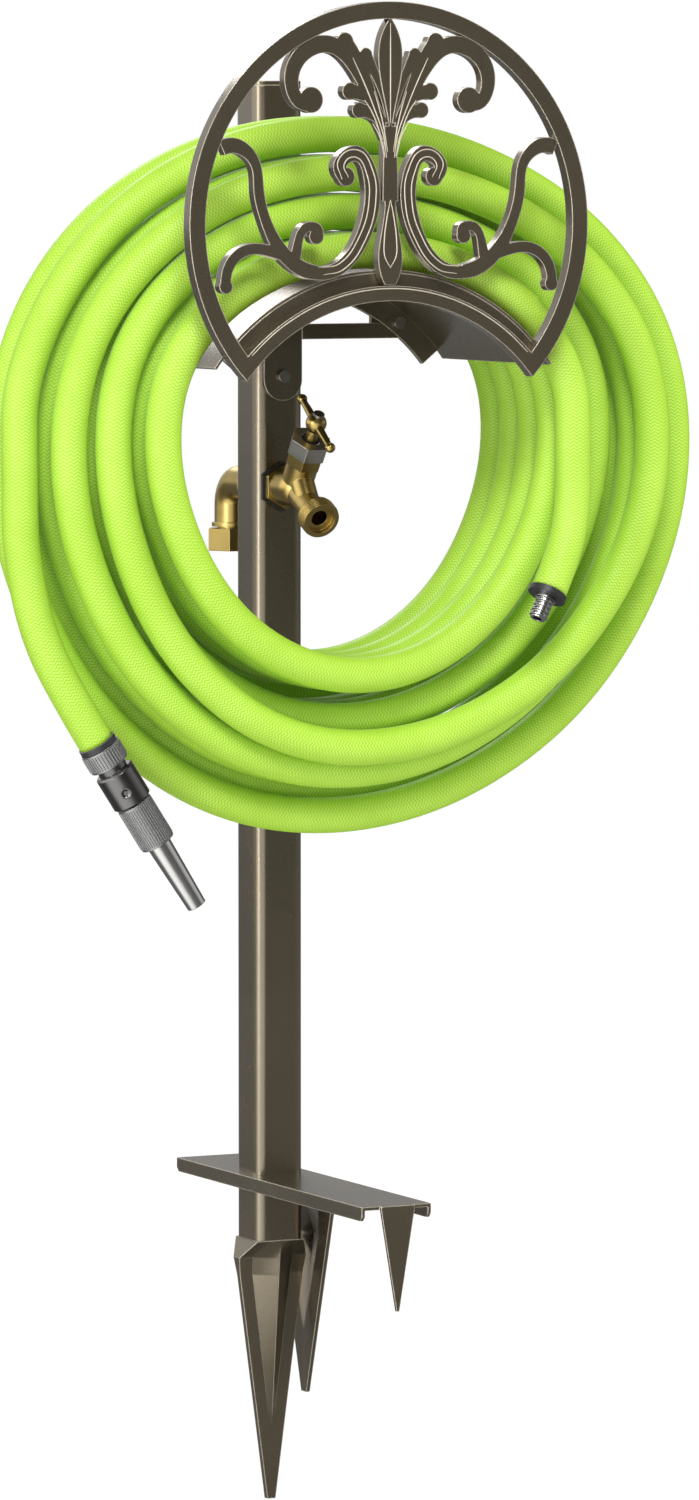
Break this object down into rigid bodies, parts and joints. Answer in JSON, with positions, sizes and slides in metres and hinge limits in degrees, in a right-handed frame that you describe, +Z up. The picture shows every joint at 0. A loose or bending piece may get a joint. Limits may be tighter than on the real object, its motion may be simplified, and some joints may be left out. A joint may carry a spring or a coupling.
{
  "type": "freestanding hose stand",
  "caption": "Spiked garden post with an arched hose saddle, round scrolled front, brass tap with turning handle and a hung hose with a twist nozzle.",
  "frame": {"origin": "on the post's axis at ground level, the underside of the step plate", "axes": "front, with the ring and tap, faces -Y; +X is to the right seen from the front; +Z is up"},
  "size_m": [0.5451, 0.3085, 1.076],
  "materials": {
    "bronze_paint": "satin",
    "brass": "satin",
    "nickel": "satin",
    "zinc_steel": "satin",
    "gunmetal": "satin",
    "steel": "polished",
    "black_rubber": "matte",
    "black_plastic": "matte",
    "green_hose": "gloss"
  },
  "bodies": {
    "stand": {"arch_nuts": "zinc_steel", "arch_screws": "zinc_steel", "bonnet_nut": "nickel", "center_palmette": "bronze_paint", "front_arch": "bronze_paint", "front_ring": "bronze_paint", "ground_stake": "bronze_paint", "hanger_strip": "bronze_paint", "hose_coil": "green_hose", "hose_inner_tail": "green_hose", "hose_nozzle_tail": "green_hose", "inlet_elbow": "brass", "inlet_washer": "black_rubber", "inner_ferrule": "black_plastic", "inner_stub": "steel", "lock_nut": "brass", "nozzle_body": "gunmetal", "nozzle_ferrule": "black_plastic", "nozzle_seal": "black_rubber", "packing_ring": "black_rubber", "post_cap": "bronze_paint", "post_tube": "bronze_paint", "post_washer": "black_rubber", "rear_arch": "bronze_paint", "ring_screws": "zinc_steel", "saddle": "bronze_paint", "scroll_left": "bronze_paint", "scroll_right": "bronze_paint", "side_spike": "bronze_paint", "step_plate": "bronze_paint", "strip_screws": "zinc_steel", "tap_body": "brass", "through_pipe": "brass", "tie_bars": "bronze_paint"},
    "valve_washer": {"seat_washer": "black_rubber", "washer_screw": "zinc_steel"},
    "valve_handle": {"valve_stem": "brass", "tee_handle": "brass", "handle_screw": "zinc_steel"},
    "supply_nut": {"inlet_nut": "brass"},
    "nozzle_coupling": {"nozzle_collar": "steel"},
    "nozzle_core": {"nozzle_tip": "steel"},
    "nozzle_grip": {"nozzle_sleeve": "steel"}
  },
  "joints": [
    {"name": "washer_lift", "type": "slide", "parent": "stand", "child": "valve_washer", "axis": [0, -0.5878, 0.809], "range_m": [0, 0.006]},
    {"name": "handle_turn", "type": "hinge", "parent": "valve_washer", "child": "valve_handle", "pos_m": [0, -0.0428, 0.5052], "axis": [0, -0.5878, 0.809], "range_deg": [0, 1080]},
    {"name": "inlet_nut_spin", "type": "hinge", "parent": "stand", "child": "supply_nut", "pos_m": [0, 0.063, 0.464], "axis": [0, 0, 1], "continuous": true},
    {"name": "nozzle_collar_spin", "type": "hinge", "parent": "stand", "child": "nozzle_coupling", "pos_m": [-0.18521, -0.11269, 0.33096], "axis": [0.543, -0.0214, -0.8395], "continuous": true},
    {"name": "tip_travel", "type": "slide", "parent": "stand", "child": "nozzle_core", "axis": [0.543, -0.0214, -0.8395], "range_m": [0, 0.006]},
    {"name": "sleeve_twist", "type": "hinge", "parent": "nozzle_core", "child": "nozzle_grip", "pos_m": [-0.1598, -0.1137, 0.29167], "axis": [0.543, -0.0214, -0.8395], "range_deg": [0, 720]}
  ],
  "couplings": [
    {"joint": "washer_lift", "follows": "handle_turn", "m_per_rad": 0.0003183},
    {"joint": "tip_travel", "follows": "sleeve_twist", "m_per_rad": 0.0004774}
  ]
}
